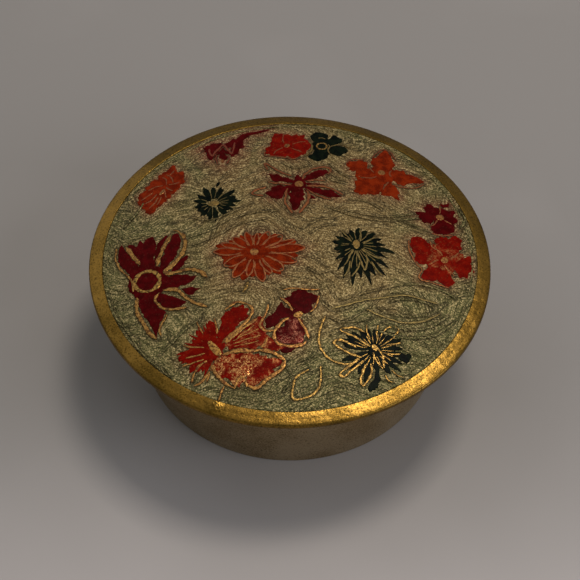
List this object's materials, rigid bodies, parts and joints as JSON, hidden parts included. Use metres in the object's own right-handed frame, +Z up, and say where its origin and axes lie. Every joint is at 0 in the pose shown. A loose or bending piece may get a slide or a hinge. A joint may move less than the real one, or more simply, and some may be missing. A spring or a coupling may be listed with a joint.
{
  "type": "cloisonne box",
  "caption": "Round brass box with a tapered base and an overhanging low domed lid inlaid with enamel flowers between wires; the lid lifts off.",
  "frame": {"origin": "middle of the foot, on the surface that the box stands on", "axes": "+Z up along the turning axis, with the lid's red poppy and front chrysanthemum towards -Y"},
  "size_m": [0.1, 0.1, 0.0379],
  "materials": {
    "rim_brass": "turned and worn, gold in the light and olive brown in the shade",
    "wall_brass": "tarnished, dark brown",
    "inner_brass": "turned, lightly tarnished",
    "wire_brass": "ground flush with the enamel and polished by handling",
    "ground_enamel": "pearly speckled green-grey enamel",
    "crimson_enamel": "deep crimson translucent enamel",
    "red_enamel": "bright red enamel",
    "orange_enamel": "orange-red enamel",
    "green_enamel": "very dark blue-green enamel"
  },
  "bodies": {
    "base": {"base_wall": "wall_brass", "base_floor": "inner_brass"},
    "lid": {"bud_wire": "wire_brass", "crimson_carnation_centre": "wire_brass", "crimson_carnation_enamel": "crimson_enamel", "crimson_carnation_wires": "wire_brass", "crimson_lily_centre": "wire_brass", "crimson_lily_enamel": "crimson_enamel", "crimson_lily_eye": "crimson_enamel", "crimson_lily_wires": "wire_brass", "crimson_pansy_centre": "wire_brass", "crimson_pansy_enamel": "crimson_enamel", "crimson_pansy_wires": "wire_brass", "crimson_star_centre": "wire_brass", "crimson_star_enamel": "crimson_enamel", "crimson_star_wires": "wire_brass", "crimson_violet_centre": "wire_brass", "crimson_violet_enamel": "crimson_enamel", "crimson_violet_wires": "wire_brass", "dark_daisy_centre": "wire_brass", "dark_daisy_enamel": "green_enamel", "dark_daisy_wires": "wire_brass", "front_chrysanthemum_centre": "wire_brass", "front_chrysanthemum_enamel": "green_enamel", "front_chrysanthemum_wires": "wire_brass", "green_chrysanthemum_centre": "wire_brass", "green_chrysanthemum_enamel": "green_enamel", "green_chrysanthemum_wires": "wire_brass", "green_primrose_centre": "wire_brass", "green_primrose_enamel": "green_enamel", "green_primrose_wires": "wire_brass", "ground_enamel": "ground_enamel", "lid_collar": "inner_brass", "lid_plate": "rim_brass", "lower_leaf_wire": "wire_brass", "orange_aster_centre": "wire_brass", "orange_aster_enamel": "orange_enamel", "orange_aster_wires": "wire_brass", "orange_chrysanthemum_centre": "wire_brass", "orange_chrysanthemum_enamel": "orange_enamel", "orange_chrysanthemum_wires": "wire_brass", "orange_star_centre": "wire_brass", "orange_star_enamel": "orange_enamel", "orange_star_wires": "wire_brass", "red_poppy_centre": "wire_brass", "red_poppy_enamel": "red_enamel", "red_poppy_wires": "wire_brass", "scarlet_hibiscus_centre": "wire_brass", "scarlet_hibiscus_enamel": "red_enamel", "scarlet_hibiscus_wires": "wire_brass", "scarlet_primrose_centre": "wire_brass", "scarlet_primrose_enamel": "red_enamel", "scarlet_primrose_wires": "wire_brass", "stem_wire": "wire_brass", "stub_wire": "wire_brass", "upper_leaf_wire": "wire_brass"}
  },
  "joints": [
    {"name": "lid_lift", "type": "slide", "parent": "base", "child": "lid", "axis": [0, 0, 1], "range_m": [0, 0.05]}
  ]
}
